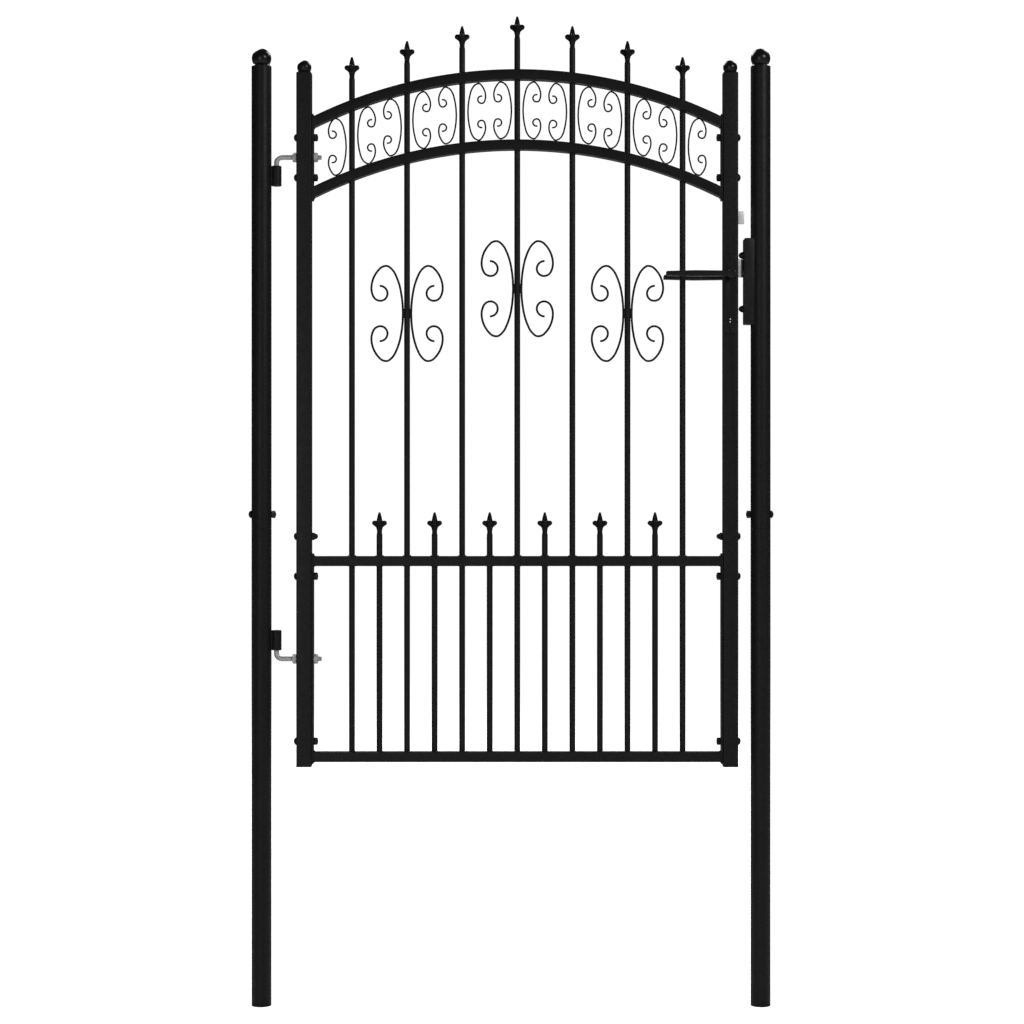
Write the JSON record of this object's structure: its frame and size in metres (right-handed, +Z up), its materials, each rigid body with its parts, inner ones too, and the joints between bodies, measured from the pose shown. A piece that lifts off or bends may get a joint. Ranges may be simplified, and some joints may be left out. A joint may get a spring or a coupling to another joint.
{
  "type": "garden gate",
  "caption": "Tall garden gate: a leaf of upright bars under an arched scrollwork band, hung on bolt hinges between two round posts, with a lever lock.",
  "frame": {"origin": "midway between the centre lines of the two posts, at the height of their feet", "axes": "+X from the hinge post to the latch post, +Y away from the front, +Z up along the posts"},
  "size_m": [1.05, 0.09, 1.9776],
  "materials": {
    "powder_coat": "satin black powder coat with a fine orange peel",
    "black_fastener": "satin black",
    "black_cap": "half gloss black",
    "black_lever": "satin black",
    "zinc": "bright zinc plating, slightly dull",
    "lock_steel": "plated steel, drawn along the bolt",
    "spring_steel": "bright spring wire"
  },
  "bodies": {
    "posts": {"hinge_post_lower": "powder_coat", "hinge_post_upper": "powder_coat", "latch_post_lower": "powder_coat", "latch_post_upper": "powder_coat", "hinge_post_cap": "black_cap", "latch_post_cap": "black_cap", "post_bolts": "black_fastener", "post_nuts": "black_fastener", "top_hinge_sleeve": "powder_coat", "bottom_hinge_sleeve": "powder_coat", "strike_box": "powder_coat", "strike_screws": "black_fastener", "post_plug": "black_cap"},
    "leaf": {"hinge_stile_lower": "powder_coat", "hinge_stile_upper": "powder_coat", "latch_stile_lower": "powder_coat", "latch_stile_upper": "powder_coat", "hinge_stile_cap": "black_cap", "latch_stile_cap": "black_cap", "hinge_strip_lower": "powder_coat", "hinge_strip_upper": "powder_coat", "latch_strip_lower": "powder_coat", "latch_strip_upper": "powder_coat", "upper_arch": "powder_coat", "lower_arch": "powder_coat", "mid_rail": "powder_coat", "bottom_rail": "powder_coat", "long_bars": "powder_coat", "lower_bars": "powder_coat", "pickets": "powder_coat", "long_bar_spears": "powder_coat", "picket_spears": "powder_coat", "left_scroll_pair": "powder_coat", "centre_scroll_pair": "powder_coat", "right_scroll_pair": "powder_coat", "band_scrolls_left": "powder_coat", "band_scrolls_right": "powder_coat", "frame_bolts": "black_fastener", "frame_nuts": "black_fastener", "acorn_nuts": "black_fastener", "top_hinge_bolt": "zinc", "bottom_hinge_bolt": "zinc", "hinge_nuts": "zinc", "lock_case": "lock_steel", "lock_cover": "lock_steel", "lock_faceplate": "lock_steel", "lock_screws": "lock_steel", "front_backplate": "black_lever", "rear_backplate": "black_lever", "backplate_screws": "black_fastener", "latch_spring": "spring_steel"},
    "handle": {"front_lever": "black_lever", "rear_lever": "black_lever", "lever_grub_screws": "lock_steel", "spindle": "lock_steel", "follower": "lock_steel"},
    "latch": {"latch_bolt": "lock_steel"},
    "dead_bolt": {"dead_bolt": "lock_steel"}
  },
  "joints": [
    {"name": "gate_swing", "type": "hinge", "parent": "posts", "child": "leaf", "pos_m": [-0.469, 0, 0], "axis": [0, 0, 1], "range_deg": [-110, 110]},
    {"name": "handle_turn", "type": "hinge", "parent": "leaf", "child": "handle", "pos_m": [0.4383, 0, 1.4596], "axis": [0, -1, 0], "range_deg": [0, 35], "stiffness_Nm_per_rad": 1.2, "springref_deg": -28.65},
    {"name": "latch_slide", "type": "slide", "parent": "leaf", "child": "latch", "axis": [-1, 0, 0], "range_m": [0, 0.0101], "deforming": ["latch_spring"]},
    {"name": "dead_bolt_slide", "type": "slide", "parent": "leaf", "child": "dead_bolt", "axis": [-1, 0, 0], "range_m": [0, 0.012]}
  ],
  "couplings": [
    {"joint": "latch_slide", "follows": "handle_turn", "m_per_rad": 0.01637}
  ]
}
